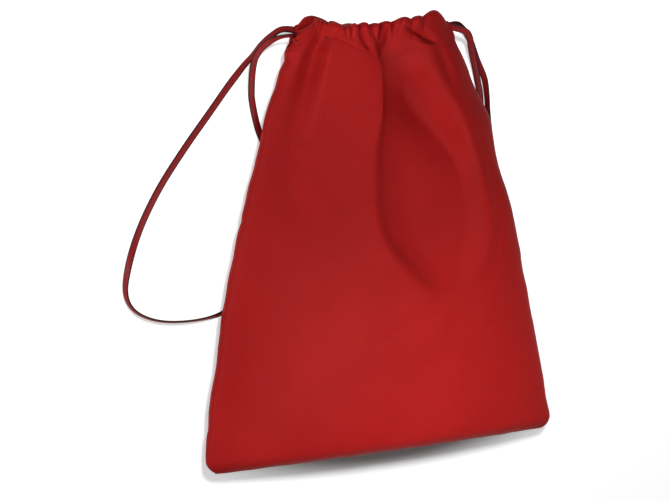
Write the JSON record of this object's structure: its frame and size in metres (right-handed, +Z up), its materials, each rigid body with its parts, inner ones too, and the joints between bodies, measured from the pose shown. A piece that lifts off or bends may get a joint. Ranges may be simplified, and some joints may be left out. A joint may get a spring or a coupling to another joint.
{
  "type": "drawstring pouch",
  "caption": "Flat satin drawstring pouch with gathered mouth and thin lace loops, lying on its back.",
  "frame": {"origin": "centre of the flat part of the back panel, on the surface that the pouch lies on", "axes": "+X across the pouch to the right as seen from the front, +Y from the bottom seam to the mouth, +Z up out of the front panel"},
  "size_m": [0.2749, 0.2605, 0.0289],
  "materials": {
    "front_cloth": "deep red satin weave with a soft sheen",
    "back_cloth": "deep red satin weave with a soft sheen",
    "left_lace": "smooth red lace with darker cut edges",
    "right_lace": "smooth red lace with darker cut edges"
  },
  "bodies": {
    "root": {"front_panel": "front_cloth", "back_panel": "back_cloth", "left_drawcord": "left_lace", "right_drawcord": "right_lace"}
  },
  "joints": []
}
